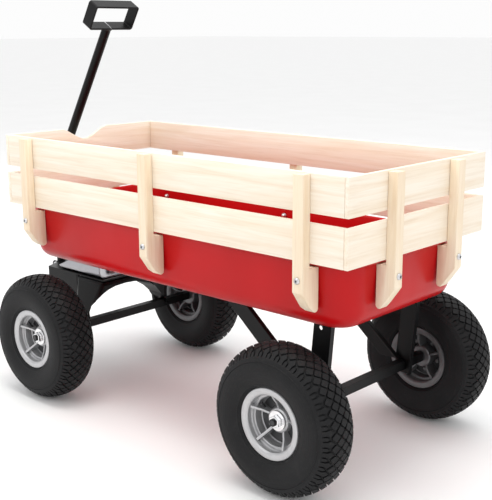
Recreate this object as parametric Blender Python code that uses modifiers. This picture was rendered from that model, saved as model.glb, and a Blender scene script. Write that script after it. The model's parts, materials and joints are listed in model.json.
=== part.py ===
"""Kids' pull wagon: pressed steel bed, wooden stake sides, four air-filled wheels, pull handle.

Units are metres and +Z is up, with the ground at Z = 0. The handle end points to -X, so the
wagon's left side is -Y. Design coordinates put X = 0 at the middle of the bed; the empty
wagon_frame moves the whole wagon so that the origin lies under the middle of its bounding box.
"""

import math

import bmesh
import bpy
from mathutils import Matrix, Vector

GAP = 0.0003  # between pieces that touch

# Stake sides
SIDE_HALF_LENGTH = 0.437  # to the outer faces of the end slats
SIDE_HALF_WIDTH = 0.1975  # to the outer faces of the side slats
SLAT_THICKNESS = 0.008
UPPER_SLAT = (0.465, 0.527)  # bottom and top
LOWER_SLAT = (0.3865, 0.450)
NOTCH_HALF_WIDTH = 0.064  # the handle's notch in the front board
NOTCH_DEPTH = 0.0235

# Stakes: battens outside the slats, stepped in below them to meet the bed
STAKE_WIDTH = 0.0205
STAKE_THICKNESS = 0.018
STAKE_TOP = 0.5255
STAKE_STEP = 0.378
STAKE_CHAMFER = 0.3415
STAKE_TOE_CORNERS = ((0, 0.3105), (0.0015, 0.3065), (0.0055, 0.3045))  # out from the bed, height
STAKE_HEEL = (0.020, 0.3140)  # in from the outer face, height
STAKE_TO_BED = 0.0008
SIDE_STAKE_X = 0.355
END_STAKE_Y = 0.0895
BOLT_HEIGHT = 0.361
BOLT_RADIUS = 0.003
BOLT_HEAD_HEIGHT = 0.0045
BOLT_HEAD_RADIUS = 0.0056
BOLT_NUT_RADIUS = 0.0052
BOLT_NUT_HEIGHT = 0.0062
BOLT_NUT_STANDOFF = 0.0028  # from the tray's inner face, for the washer
HOLE_STEPS = 12
DRILL_LENGTH = 0.120
WALL_DRILL_LENGTH = 0.070

# Bed tray, outer surface
BED_SHEET = 0.0014
BED_FLOOR = 0.274
BED_FILLET = 0.028
BED_RIM = 0.3855
BED_BASE_SIDES = (0.412, 0.1675)  # half length and half width above the fillet
BED_TOP_SIDES = (0.419, 0.1745)  # the same just under the rim
BED_CORNER = 0.050
BED_RIM_REACH = 0.0075
BED_RIM_LIP = 0.002

# Wheels
WHEEL_STEPS = 28
TYRE_RADIUS = 0.127
TYRE_HALF_WIDTH = 0.043
TYRE_WAIST_RADIUS = 0.088  # where the section is widest
TYRE_FULLNESS = 2.4  # 2 would be an ellipse; more is squarer at the shoulders
TYRE_FOOT = ((0.0655, 0.0385), (0.0745, 0.0420))  # radius, height, beside the rim
RIM_RADIUS = 0.060
RIM_HALF_WIDTH = 0.0345
RIM_SEAT_RADIUS = 0.055
RIM_LIP = 0.0032
RIM_FLANGE_BORE = 0.0500
RIM_DRUM_BORE = 0.0465
RIM_DRUM_HALF = 0.0200
HUB_RADIUS = 0.021
HUB_OUTER = 0.012  # from the wheel's middle plane, outwards
HUB_INNER = 0.022  # and inwards
WEB_HALF = 0.0022
RIB_COUNT = 5
RIB_PHASE = 0.944  # of one pitch
RIB_HALF = 0.0024
RIB_SPAN = (-0.0160, 0.0095)
BUSHING_RADIUS = 0.0095
SPINDLE_RADIUS = 0.00635
SPINDLE_OVERHANG = 0.0135  # beyond the hub's outer face
NUT_RADIUS = 0.0100
NUT_HEIGHT = 0.0110
NUT_CHAMFER = 0.0015
WASHER_RADIUS = 0.0135
WASHER_THICKNESS = 0.0021
WHEEL_PLAY = 0.0006
TRACK_HALF = 0.213
FRONT_AXLE_X = -0.314
REAR_AXLE_X = 0.325
BEAM_SIZE = 0.0165
BEAM_HEIGHT = 0.1285  # middle of the axle beam, a little above the spindles
BEAM_HALF_LENGTH = 0.189

# Steering head and drawbar
KINGPIN_X = -0.360
KINGPIN_RADIUS = 0.006
BOLSTER_TOP = 0.208
BOLSTER_HALF_TOP = 0.060
BOLSTER_FOOT_Y = 0.122
BOLSTER_TOP_SPAN = (-0.405, -0.311)
BOLSTER_FOOT_SPAN = (-0.338, -0.296)
ARCH_HALF_WIDTH = 0.110
ARCH_TOP = 0.1965
ARCH_FULLNESS = (0.85, 1.1)  # powers of the sine across and the cosine up
BOLSTER_EDGE = 0.008
PLATE = 0.003
DRAWBAR_HALF_WIDTH = 0.0555
DRAWBAR_REAR = -0.315
DRAWBAR_SHOULDER = -0.512
DRAWBAR_NOSE = -0.530
SKIRT_REAR = -0.409
SKIRT_FOOT = (0.162, 0.186)  # height of its lower edge at the rear and at the front
EAR_REAR = -0.490
EAR_TIP = 0.015  # ahead of the pin
EAR_FOOT = 0.014  # below the pin
EAR_CORNER = 0.005
CRADLE_SPAN = (-0.470, -0.326)
CRADLE_HALF_WIDTH = 0.058
CRADLE_BEND = 0.016
CRADLE_LIP = 0.018
CRADLE_SLOPE = ((-0.480, 0.2170), (-0.345, 0.2760))  # its sides are cut down to this line
KINGPIN_HEAD = (0.0110, 0.007)  # radius, height
KINGPIN_NUT = (0.0100, 0.0100)
KINGPIN_WASHER = (0.0130, 0.0021)
HANDLE_PIVOT = (-0.5387, 0.203)  # X and Z
HANDLE_BEND = (-0.5387, 0.412)
HANDLE_TOP = (-0.3405, 0.7415)
HANDLE_RADIUS = 0.0095
HANDLE_BEND_RADIUS = 0.090
HANDLE_FOOT = 0.0065  # below the pin
HANDLE_STOP_GAP = 0.0017  # between the tube and the drawbar's top plate
PIVOT_PIN_RADIUS = 0.004
PIVOT_HEAD = (0.0068, 0.0040)
EAR_INNER = 0.0112

# Grip: a flat strap bent into a rectangular loop
GRIP_WIDTH = 0.113
GRIP_HEIGHT = 0.0535
GRIP_STRAP = 0.0040
GRIP_DEPTH = 0.028
GRIP_CORNER = 0.0055

# Rear stand
LEG_FACE_Y = 0.132
LEG_TOP_X = 0.341
LEG_FOOT = (0.326, 0.112)  # X and Z
LEG_WIDTH = 0.036
BRACE_FACE_Y = 0.1285
BRACE_TOP_X = 0.137
BRACE_FOOT_X = 0.301
BRACE_WIDTH = 0.030
FLANGE = 0.010
PAD_REACH = 0.034
STRUT_MARGIN = 0.060
LEG_DRILL_RADIUS = 0.004
LEG_DRILL_OFFSET = (-0.005, -0.0115)  # from the top of the leg

LEFT, RIGHT = -1, 1
SIDES = (("left", LEFT), ("right", RIGHT))


# ---------------------------------------------------------------- scene and helpers

def clear_scene():
    for obj in list(bpy.data.objects):
        bpy.data.objects.remove(obj, do_unlink=True)


def new_collection(name, hidden=False):
    collection = bpy.data.collections.new(name)
    bpy.context.scene.collection.children.link(collection)
    collection.hide_render = hidden
    return collection


def material(name, colour, roughness, metallic=0.0):
    made = bpy.data.materials.new(name)
    made.use_nodes = True
    shader = made.node_tree.nodes["Principled BSDF"]
    shader.inputs["Base Color"].default_value = (*colour, 1.0)
    shader.inputs["Roughness"].default_value = roughness
    shader.inputs["Metallic"].default_value = metallic
    made.diffuse_color = (*colour, 1.0)
    return made


def pivot(name, parent, location):
    """An empty at a design position, for the pieces that turn together about it."""
    empty = bpy.data.objects.new(name, None)
    empty.empty_display_size = 0.03
    PARTS.objects.link(empty)
    place(empty, parent, location)
    return empty


def design_origin(empty):
    """An empty's place in design coordinates, which leave out wagon_frame's own shift."""
    total = Vector()
    while empty.parent is not None:
        total += empty.location
        empty = empty.parent
    return total


def place(obj, parent, location, rotation=None):
    obj.parent = parent
    turn = rotation.to_4x4() if rotation else Matrix.Identity(4)
    obj.matrix_local = Matrix.Translation(Vector(location) - design_origin(parent)) @ turn
    return obj


def part(name, data, finish, parent, location=(0, 0, 0), rotation=None):
    obj = bpy.data.objects.new(name, data)
    PARTS.objects.link(obj)
    if finish and not data.materials:
        data.materials.append(finish)
    return place(obj, parent, location, rotation)


def cutter(name, data, parent, location=(0, 0, 0), rotation=None):
    obj = bpy.data.objects.new(name, data)
    CUTTERS.objects.link(obj)
    obj.hide_render = True
    obj.display_type = "WIRE"
    return place(obj, parent, location, rotation)


def boolean(obj, other, operation="DIFFERENCE"):
    modifier = obj.modifiers.new(f"{operation.lower()} {other.name}", "BOOLEAN")
    modifier.operation = operation
    modifier.object = other
    modifier.solver = "EXACT"
    return obj


def axes(x_axis, y_axis, z_axis):
    """A rotation that sends local X, Y and Z to the given directions."""
    return Matrix((x_axis, y_axis, z_axis)).transposed()


def along(z_axis, x_hint):
    """A rotation that sends local Z to z_axis, with local X as near x_hint as it can be."""
    z = Vector(z_axis).normalized()
    y = z.cross(Vector(x_hint)).normalized()
    return axes(y.cross(z), y, z)


def box_mesh(name, low, high):
    mesh = bpy.data.meshes.new(name)
    bm = bmesh.new()
    bmesh.ops.create_cube(bm, size=1)
    size = Vector(high) - Vector(low)
    middle = (Vector(high) + Vector(low)) / 2
    bmesh.ops.scale(bm, vec=size, verts=bm.verts)
    bmesh.ops.translate(bm, vec=middle, verts=bm.verts)
    bm.to_mesh(mesh)
    bm.free()
    return mesh


def cylinder_mesh(name, radius, length, segments=16):
    mesh = bpy.data.meshes.new(name)
    bm = bmesh.new()
    bmesh.ops.create_cone(
        bm, cap_ends=True, segments=segments, radius1=radius, radius2=radius, depth=length
    )
    bm.to_mesh(mesh)
    bm.free()
    return mesh


def outline_curve(name, outlines, thickness):
    """A flat plate in local XY; a second outline inside the first is a hole."""
    curve = bpy.data.curves.new(name, "CURVE")
    curve.dimensions = "2D"
    curve.fill_mode = "BOTH"
    curve.extrude = thickness / 2
    for outline in outlines:
        spline = curve.splines.new("POLY")
        spline.points.add(len(outline) - 1)
        for point, (x, y) in zip(spline.points, outline):
            point.co = (x, y, 0, 1)
        spline.use_cyclic_u = True
    return curve


def baked_mesh(obj, keep_modifiers=False):
    """The evaluated shape of obj as a mesh in its local space, welded. Removes obj."""
    graph = bpy.context.evaluated_depsgraph_get()
    graph.update()
    mesh = bpy.data.meshes.new_from_object(obj.evaluated_get(graph))
    mesh.name = obj.name
    bm = bmesh.new()
    bm.from_mesh(mesh)
    bmesh.ops.remove_doubles(bm, verts=bm.verts, dist=0.00001)
    bmesh.ops.recalc_face_normals(bm, faces=bm.faces)
    bm.to_mesh(mesh)
    bm.free()
    bpy.data.objects.remove(obj, do_unlink=True)
    return mesh


def plate_mesh(name, outlines, thickness):
    """The outline plate as a mesh, for pieces that are cut or joined."""
    helper = part(name, outline_curve(name, outlines, thickness), None, FRAME)
    return baked_mesh(helper)


def turned_object(name, profile, steps, finish, parent, location, rotation, closed=False):
    """A profile of (radius, height) pairs turned about local Z."""
    mesh = bpy.data.meshes.new(name)
    points = [(radius, 0, height) for radius, height in profile]
    edges = [(i, i + 1) for i in range(len(points) - 1)]
    if closed:
        edges.append((len(points) - 1, 0))
    mesh.from_pydata(points, edges, [])
    obj = part(name, mesh, finish, parent, location, rotation)
    screw = obj.modifiers.new("turn", "SCREW")
    screw.steps = steps
    screw.render_steps = steps
    screw.use_merge_vertices = True
    screw.merge_threshold = 0.00001
    screw.use_smooth_shade = True
    return obj


def arc(centre, radius, start, end, steps):
    """Points on an arc in degrees, both ends included."""
    turn = [math.radians(start + (end - start) * i / steps) for i in range(steps + 1)]
    return [(centre[0] + radius * math.cos(a), centre[1] + radius * math.sin(a)) for a in turn]


def rounded_rectangle(half_x, half_y, radius, steps):
    points = []
    for sx, sy, start in ((1, 1, 0), (-1, 1, 90), (-1, -1, 180), (1, -1, 270)):
        centre = (sx * (half_x - radius), sy * (half_y - radius))
        points += arc(centre, radius, start, start + 90, steps)
    return points


def sheet_mesh(name, rows, closed_rows=False, cap_first=False):
    """An open surface lofted through rows of points, one face between each pair of neighbours."""
    mesh = bpy.data.meshes.new(name)
    bm = bmesh.new()
    grid = [[bm.verts.new(point) for point in row] for row in rows]
    count = len(grid[0])
    columns = range(count if closed_rows else count - 1)
    for below, above in zip(grid, grid[1:]):
        for i in columns:
            j = (i + 1) % count
            bm.faces.new((below[i], below[j], above[j], above[i]))
    if cap_first:
        bm.faces.new(list(reversed(grid[0])))
    bm.normal_update()
    bm.to_mesh(mesh)
    bm.free()
    return mesh


def solidify(obj, thickness, offset):
    modifier = obj.modifiers.new("sheet", "SOLIDIFY")
    modifier.thickness = thickness
    modifier.offset = offset
    modifier.use_even_offset = True
    return obj


def smooth(obj, degrees=35):
    """Shades a finished mesh smooth except across its sharper edges."""
    obj.data.shade_smooth()
    obj.data.set_sharp_from_angle(angle=math.radians(degrees))
    return obj


# ---------------------------------------------------------------- bed

def bed_rings():
    """Rounded-rectangle rings of the tray's outer surface, from the floor up and over the rim."""
    base_x, base_y = BED_BASE_SIDES
    top_x, top_y = BED_TOP_SIDES
    rings = []
    for angle in (0, 22.5, 45, 67.5, 90):
        inset = BED_FILLET * (1 - math.sin(math.radians(angle)))
        rise = BED_FILLET * (1 - math.cos(math.radians(angle)))
        rings.append((base_x - inset, base_y - inset, BED_CORNER - inset, BED_FLOOR + rise))
    straight = BED_RIM - BED_RIM_REACH / 2
    corner = BED_CORNER + top_x - base_x
    rings.append((top_x, top_y, corner, straight))
    for angle in (60, 120, 180):
        reach = BED_RIM_REACH / 2 * (1 - math.cos(math.radians(angle)))
        rise = BED_RIM_REACH / 2 * math.sin(math.radians(angle))
        rings.append((top_x + reach, top_y + reach, corner + reach, straight + rise))
    rings.append((*[side + BED_RIM_REACH for side in (top_x, top_y, corner)], straight - BED_RIM_LIP))
    return rings


def build_bed():
    rows = []
    for half_x, half_y, corner, z in bed_rings():
        rows.append([(x, y, z) for x, y in rounded_rectangle(half_x, half_y, corner, 6)])
    mesh = sheet_mesh("bed_tray", rows, closed_rows=True, cap_first=True)
    tray = part("bed_tray", mesh, PAINT, FRAME)
    solidify(tray, BED_SHEET, -1)
    for index, (location, outward) in enumerate(stake_places()):
        hole = cylinder_mesh("bolt_hole", BOLT_RADIUS + GAP, WALL_DRILL_LENGTH, HOLE_STEPS)
        middle = (location[0], location[1], BOLT_HEIGHT)
        turn = along(outward, (0, 0, 1))
        boolean(tray, cutter(f"bed_bolt_hole_{index}", hole, FRAME, middle, turn))
    return smooth(tray)


# ---------------------------------------------------------------- slats and stakes

def notched_board(half_width, low, high):
    """The front upper board in local XY, with the handle's S-sided notch in its top edge."""
    points = [(-half_width, low), (half_width, low), (half_width, high)]
    steps = 20
    for i in range(steps + 1):
        y = NOTCH_HALF_WIDTH * (1 - 2 * i / steps)
        drop = NOTCH_DEPTH * 0.5 * (1 + math.cos(math.pi * y / NOTCH_HALF_WIDTH))
        points.append((y, high - drop))
    points.append((-half_width, high))
    return points


def build_slats():
    inner = SIDE_HALF_LENGTH - SLAT_THICKNESS - GAP
    for level, (low, high) in (("upper", UPPER_SLAT), ("lower", LOWER_SLAT)):
        for side, sign in SIDES:
            outer = sign * SIDE_HALF_WIDTH
            faces = sorted((outer, outer - sign * SLAT_THICKNESS))
            mesh = box_mesh("slat", (-inner, faces[0], low), (inner, faces[1], high))
            part(f"slat_{side}_{level}", mesh, WOOD, FRAME)
        for end, sign in (("front", -1), ("rear", 1)):
            half = SIDE_HALF_WIDTH
            outline = [(-half, low), (half, low), (half, high), (-half, high)]
            if (end, level) == ("front", "upper"):
                outline = notched_board(half, low, high)
            middle = (sign * (SIDE_HALF_LENGTH - SLAT_THICKNESS / 2), 0, 0)
            curve = outline_curve("slat", [outline], SLAT_THICKNESS)
            turn = axes((0, 1, 0), (0, 0, 1), (1, 0, 0))
            part(f"slat_{end}_{level}", curve, WOOD, FRAME, middle, turn)


def stake_places():
    """(point on the slats' outer face at the stake's middle, outward direction) for each stake."""
    places = []
    for sign in (LEFT, RIGHT):
        for x in (-SIDE_STAKE_X, 0.0, SIDE_STAKE_X):
            places.append(((x, sign * SIDE_HALF_WIDTH, 0), (0, sign, 0)))
    for end in (-1, 1):
        for y in (-END_STAKE_Y, END_STAKE_Y):
            places.append(((end * SIDE_HALF_LENGTH, y, 0), (end, 0, 0)))
    return places


def stake_names():
    names = [f"{side}_{spot}" for side, _ in SIDES for spot in ("front", "middle", "rear")]
    return names + [f"{end}_{side}" for end in ("front", "rear") for side, _ in SIDES]


def stake_outline(inset):
    """Side view of a stake: x is outwards from the slats' face, y is height."""
    outer = GAP + STAKE_THICKNESS
    points = [(GAP, STAKE_TOP), (GAP, STAKE_STEP), (-inset, STAKE_STEP)]
    points += [(-inset + reach, height) for reach, height in STAKE_TOE_CORNERS]
    points.append((outer - STAKE_HEEL[0], STAKE_HEEL[1]))
    points += [(outer, STAKE_CHAMFER), (outer, STAKE_TOP)]
    return points


def build_stakes():
    for name, (location, outward) in zip(stake_names(), stake_places()):
        on_side = outward[0] == 0
        bed_half = BED_TOP_SIDES[1] if on_side else BED_TOP_SIDES[0]
        face = SIDE_HALF_WIDTH if on_side else SIDE_HALF_LENGTH
        inset = face - bed_half - STAKE_TO_BED
        mesh = plate_mesh(f"stake_{name}", [stake_outline(inset)], STAKE_WIDTH)
        x_axis = Vector(outward)
        turn = axes(x_axis, Vector((0, 0, 1)), x_axis.cross(Vector((0, 0, 1))))
        stake = part(f"stake_{name}", mesh, WOOD, FRAME, location, turn)
        hole = cylinder_mesh("bolt_hole", BOLT_RADIUS + GAP, DRILL_LENGTH, HOLE_STEPS)
        middle = (location[0], location[1], BOLT_HEIGHT)
        boolean(stake, cutter(f"stake_hole_{name}", hole, FRAME, middle, along(outward, (0, 0, 1))))
        build_stake_bolt(name, location, outward, inset)


def build_stake_bolt(name, location, outward, inset):
    """A domed bolt through stake and bed wall, its nut tightened inside the bed."""
    seat = GAP + STAKE_THICKNESS + GAP
    nut_face = -inset - STAKE_TO_BED - BED_SHEET - BOLT_NUT_STANDOFF
    head = BOLT_HEAD_RADIUS
    nut = BOLT_NUT_RADIUS
    profile = [(0, seat + BOLT_HEAD_HEIGHT), (head * 0.55, seat + BOLT_HEAD_HEIGHT * 0.88)]
    profile += [(head * 0.96, seat + BOLT_HEAD_HEIGHT * 0.35), (head, seat)]
    profile += [(BOLT_RADIUS, seat), (BOLT_RADIUS, nut_face), (nut, nut_face)]
    profile += [(nut * 0.96, nut_face - BOLT_NUT_HEIGHT * 0.77), (0, nut_face - BOLT_NUT_HEIGHT)]
    middle = (location[0], location[1], BOLT_HEIGHT)
    turn = along(outward, (0, 0, 1))
    turned_object(f"stake_bolt_{name}", profile, 10, ZINC, FRAME, middle, turn)


# ---------------------------------------------------------------- wheels

def tyre_profile():
    """Section of the tyre, down its outside from one bead to the other, then back under it."""
    half = []
    steps = 4
    crown = TYRE_RADIUS - TYRE_WAIST_RADIUS
    power = 2 / TYRE_FULLNESS
    for i in range(steps + 1):
        angle = math.pi / 2 * (1 - i / steps)
        radius = TYRE_WAIST_RADIUS + crown * math.cos(angle) ** power
        half.append((radius, TYRE_HALF_WIDTH * math.sin(angle) ** power))
    seat = RIM_SEAT_RADIUS + GAP
    lip = RIM_RADIUS + GAP
    bead = RIM_HALF_WIDTH - RIM_LIP - 2 * GAP
    side = [(seat, bead), (lip, bead), (lip + 2 * GAP, RIM_HALF_WIDTH - 2 * GAP)]
    upper = side + list(TYRE_FOOT) + half
    return upper + [(radius, -height) for radius, height in reversed(upper[:-1])]


def turned_helper(name, profile, steps):
    return turned_object(name, profile, steps, None, FRAME, (0, 0, 0), None, closed=True)


def rim_mesh():
    """Turned rim ring, web, hub and ribs joined into one casting, outer side along +Z."""
    seat = RIM_HALF_WIDTH - RIM_LIP
    upper = [
        (RIM_DRUM_BORE, RIM_DRUM_HALF),
        (RIM_FLANGE_BORE, RIM_HALF_WIDTH),
        (RIM_RADIUS, RIM_HALF_WIDTH),
        (RIM_RADIUS, seat),
        (RIM_SEAT_RADIUS, seat - 2 * GAP),
    ]
    ring = upper + [(radius, -height) for radius, height in reversed(upper)]
    bore = BUSHING_RADIUS + GAP
    hub = [(bore, HUB_OUTER), (HUB_RADIUS, HUB_OUTER), (HUB_RADIUS, -HUB_INNER), (bore, -HUB_INNER)]
    inside = (bore + HUB_RADIUS) / 2
    outside = (RIM_DRUM_BORE + RIM_SEAT_RADIUS) / 2
    web = [(inside, WEB_HALF), (outside, WEB_HALF), (outside, -WEB_HALF), (inside, -WEB_HALF)]
    body = turned_helper("rim", ring, WHEEL_STEPS)
    helpers = [turned_helper("hub", hub, 20), turned_helper("web", web, WHEEL_STEPS)]
    for i in range(RIB_COUNT):
        low = (HUB_RADIUS * 0.7, -RIB_HALF, RIB_SPAN[0])
        high = (RIM_FLANGE_BORE - GAP, RIB_HALF, RIB_SPAN[1])
        turn = Matrix.Rotation(math.tau * (i + RIB_PHASE) / RIB_COUNT, 3, "Z")
        helpers.append(part(f"rib_{i}", box_mesh("rib", low, high), None, FRAME, (0, 0, 0), turn))
    for helper in helpers:
        boolean(body, helper, "UNION")
    mesh = baked_mesh(body)
    for helper in helpers:
        bpy.data.objects.remove(helper, do_unlink=True)
    return mesh


def build_wheel(name, parent, x, sign, rim):
    """One wheel about its own pivot, and the washer and nut that hold it on the spindle."""
    centre = (x, sign * TRACK_HALF, TYRE_RADIUS)
    turn = along((0, sign, 0), (0, 0, 1))
    hub = pivot(f"wheel_{name}_pivot", parent, centre)
    turned_object(f"tyre_{name}", tyre_profile(), WHEEL_STEPS, RUBBER, hub, centre, turn, closed=True)
    part(f"rim_{name}", rim, RIM_PAINT, hub, centre, turn)
    bore = SPINDLE_RADIUS + GAP
    sleeve = [(bore, HUB_OUTER), (BUSHING_RADIUS, HUB_OUTER)]
    sleeve += [(BUSHING_RADIUS, -HUB_INNER), (bore, -HUB_INNER)]
    turned_object(f"bushing_{name}", sleeve, 16, NYLON, hub, centre, turn, closed=True)
    face = HUB_OUTER + WHEEL_PLAY
    top = face + NUT_HEIGHT
    step = face + WASHER_THICKNESS
    nut = [(bore, top), (NUT_RADIUS - NUT_CHAMFER, top), (NUT_RADIUS, top - NUT_CHAMFER)]
    nut += [(NUT_RADIUS, step), (WASHER_RADIUS, step), (WASHER_RADIUS, face), (bore, face)]
    turned_object(f"axle_nut_{name}", nut, 16, CHROME, parent, centre, turn, closed=True)


def axle_mesh(name):
    """A square beam with a round spindle at each end, along local Y."""
    half = BEAM_SIZE / 2
    low = (-half, -BEAM_HALF_LENGTH, BEAM_HEIGHT - half)
    high = (half, BEAM_HALF_LENGTH, BEAM_HEIGHT + half)
    beam = part(name, box_mesh("beam", low, high), None, FRAME)
    reach = TRACK_HALF + HUB_OUTER + SPINDLE_OVERHANG
    spindle = cylinder_mesh("spindle", SPINDLE_RADIUS, 2 * reach, 20)
    turn = along((0, 1, 0), (0, 0, 1))
    spindles = part("spindles", spindle, None, FRAME, (0, 0, TYRE_RADIUS), turn)
    boolean(beam, spindles, "UNION")
    mesh = baked_mesh(beam)
    bpy.data.objects.remove(spindles, do_unlink=True)
    return mesh


# ---------------------------------------------------------------- steering head

def bolster_mesh():
    """A box without a bottom, wider and shorter at its foot than at its top."""
    mesh = bpy.data.meshes.new("front_bolster")
    bm = bmesh.new()
    bmesh.ops.create_cube(bm, size=2)
    for vertex in bm.verts:
        rear, side, upper = vertex.co
        span = BOLSTER_TOP_SPAN if upper > 0 else BOLSTER_FOOT_SPAN
        vertex.co.x = span[1] if rear > 0 else span[0]
        vertex.co.y = side * (BOLSTER_HALF_TOP if upper > 0 else BOLSTER_FOOT_Y)
        vertex.co.z = BOLSTER_TOP if upper > 0 else BEAM_HEIGHT
    bottom = min(bm.faces, key=lambda face: face.calc_center_median().z)
    bmesh.ops.delete(bm, geom=[bottom], context="FACES_ONLY")
    bm.to_mesh(mesh)
    bm.free()
    return mesh


def arch_outline():
    """The opening between the bolster's two feet, in Y and Z."""
    half = []
    steps = 8
    for i in range(steps + 1):
        angle = math.radians(90 * i / steps)
        y = ARCH_HALF_WIDTH * math.sin(angle) ** ARCH_FULLNESS[0]
        rise = (ARCH_TOP - BEAM_HEIGHT) * math.cos(angle) ** ARCH_FULLNESS[1]
        half.append((y, BEAM_HEIGHT + rise))
    half.append((ARCH_HALF_WIDTH, BEAM_HEIGHT - BEAM_SIZE))
    return half + [(-y, z) for y, z in reversed(half[1:])]


def build_bolster(steering):
    bolster = part("front_bolster", bolster_mesh(), BLACK, steering)
    bevel = bolster.modifiers.new("pressed edges", "BEVEL")
    bevel.width = BOLSTER_EDGE
    bevel.segments = 2
    solidify(bolster, PLATE, -1)
    arch = plate_mesh("arch", [arch_outline()], 0.300)
    turn = axes((0, 1, 0), (0, 0, 1), (1, 0, 0))
    middle = (BOLSTER_TOP_SPAN[0], 0, 0)
    boolean(bolster, cutter("bolster_arch", arch, FRAME, middle, turn))
    hole = cylinder_mesh("kingpin_hole", KINGPIN_RADIUS + GAP, 0.030, 20)
    middle = (KINGPIN_X, 0, BOLSTER_TOP)
    boolean(bolster, cutter("bolster_kingpin_hole", hole, FRAME, middle))
    saddle = BEAM_SIZE / 2 + GAP
    low = (FRONT_AXLE_X - saddle, -BEAM_HALF_LENGTH, BEAM_HEIGHT - 2 * BEAM_SIZE)
    high = (FRONT_AXLE_X + saddle, BEAM_HALF_LENGTH, BEAM_HEIGHT + saddle)
    boolean(bolster, cutter("bolster_saddle", box_mesh("saddle", low, high), FRAME))
    return bolster


def drawbar_sides(steering, top):
    """The skirts turned down beside the drawbar, and the ears that hold the handle's foot."""
    skirt = [(SKIRT_REAR, top), (DRAWBAR_SHOULDER, top), (DRAWBAR_SHOULDER, SKIRT_FOOT[1])]
    skirt.append((SKIRT_REAR, SKIRT_FOOT[0]))
    tip = HANDLE_PIVOT[0] - EAR_TIP
    base = HANDLE_PIVOT[1] - EAR_FOOT
    corner = EAR_CORNER
    ear = [(EAR_REAR, top), (tip + corner, top), (tip, top - corner), (tip, base + corner)]
    ear += [(tip + corner, base), (DRAWBAR_NOSE, base), (EAR_REAR, top - 2 * corner)]
    turn = axes((1, 0, 0), (0, 0, 1), (0, -1, 0))
    made = []
    for side, sign in SIDES:
        for kind, outline, inner in (
            ("skirt", skirt, DRAWBAR_HALF_WIDTH - PLATE),
            ("ear", ear, EAR_INNER),
        ):
            mesh = plate_mesh(f"{kind}_{side}", [outline], PLATE)
            spot = (0, sign * (inner + PLATE / 2), 0)
            made.append(part(f"{kind}_{side}", mesh, None, steering, spot, turn))
    return made


def build_drawbar(steering):
    """A channel over the bolster, reaching forward to two ears that hold the handle's foot."""
    low = BOLSTER_TOP + GAP
    outer = EAR_INNER + PLATE
    stop = HANDLE_PIVOT[0] + HANDLE_RADIUS + HANDLE_STOP_GAP
    half = DRAWBAR_HALF_WIDTH
    outline = [(DRAWBAR_REAR, half), (DRAWBAR_SHOULDER, half), (DRAWBAR_NOSE, outer)]
    outline += [(stop, outer)]
    outline += [(x, -y) for x, y in reversed(outline)]
    middle = (0, 0, low + PLATE / 2)
    bar = part("drawbar", plate_mesh("drawbar", [outline], PLATE), BLACK, steering, middle)
    helpers = drawbar_sides(steering, low + PLATE - GAP)
    for helper in helpers:
        boolean(bar, helper, "UNION")
    mesh = baked_mesh(bar)
    for helper in helpers:
        bpy.data.objects.remove(helper, do_unlink=True)
    bar = part("drawbar", mesh, BLACK, steering, middle)
    holes = (
        ("drawbar_kingpin_hole", KINGPIN_RADIUS, (KINGPIN_X, 0, low), (0, 0, 1)),
        ("drawbar_pin_hole", PIVOT_PIN_RADIUS, (HANDLE_PIVOT[0], 0, HANDLE_PIVOT[1]), (0, 1, 0)),
    )
    for name, radius, spot, direction in holes:
        hole = cylinder_mesh(name, radius + GAP, 0.060, 20)
        boolean(bar, cutter(name, hole, FRAME, spot, along(direction, (1, 0, 0))))
    return bar


def build_cradle():
    """Galvanised channel under the bed that carries the kingpin: web below, flanges above."""
    web = BOLSTER_TOP + GAP + PLATE + GAP
    top = BED_FLOOR - GAP
    half = CRADLE_HALF_WIDTH
    bend = CRADLE_BEND
    lip = half + CRADLE_LIP
    right = [(lip, top), (lip, top - PLATE), (half, top - PLATE)]
    right += arc((half - bend, web + bend), bend, 0, -90, 5)
    inner = arc((half - bend, web + bend), bend - PLATE, -90, 0, 5)
    inner += [(half - PLATE, top)]
    outline = right + [(-x, y) for x, y in reversed(right)]
    outline += [(-x, y) for x, y in reversed(inner)] + inner
    length = CRADLE_SPAN[1] - CRADLE_SPAN[0]
    middle = ((CRADLE_SPAN[0] + CRADLE_SPAN[1]) / 2, 0, 0)
    turn = axes((0, 1, 0), (0, 0, 1), (1, 0, 0))
    mesh = plate_mesh("kingpin_cradle", [outline], length)
    cradle = part("kingpin_cradle", mesh, ZINC, FRAME, middle, turn)
    hole = cylinder_mesh("cradle_hole", KINGPIN_RADIUS + GAP, 0.030, 20)
    boolean(cradle, cutter("cradle_kingpin_hole", hole, FRAME, (KINGPIN_X, 0, web)))
    above = BED_FLOOR + CRADLE_LIP
    slope = list(CRADLE_SLOPE) + [(CRADLE_SLOPE[1][0], above), (CRADLE_SLOPE[0][0], above)]
    wedge = plate_mesh("cradle_slope", [slope], 0.200)
    turn = axes((1, 0, 0), (0, 0, 1), (0, -1, 0))
    boolean(cradle, cutter("cradle_front_slope", wedge, FRAME, (0, 0, 0), turn))
    return cradle


def build_kingpin():
    """Bolt head in the cradle, shank through cradle, drawbar and bolster, lock nut below."""
    seat = BOLSTER_TOP + 2 * GAP + 2 * PLATE + GAP
    below = BOLSTER_TOP - PLATE - 0.0006
    head, head_height = KINGPIN_HEAD
    nut, nut_height = KINGPIN_NUT
    washer, washer_height = KINGPIN_WASHER
    base = below - nut_height
    profile = [(0, seat + head_height), (head * 0.9, seat + head_height)]
    profile += [(head, seat + head_height * 0.7), (head, seat), (KINGPIN_RADIUS, seat)]
    profile += [(KINGPIN_RADIUS, below), (washer, below), (washer, below - washer_height)]
    profile += [(nut, below - washer_height), (nut, base), (KINGPIN_RADIUS, base)]
    profile += [(KINGPIN_RADIUS * 0.83, base - PLATE), (0, base - PLATE)]
    turned_object("kingpin", profile, 20, ZINC, FRAME, (KINGPIN_X, 0, 0), None)


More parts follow.
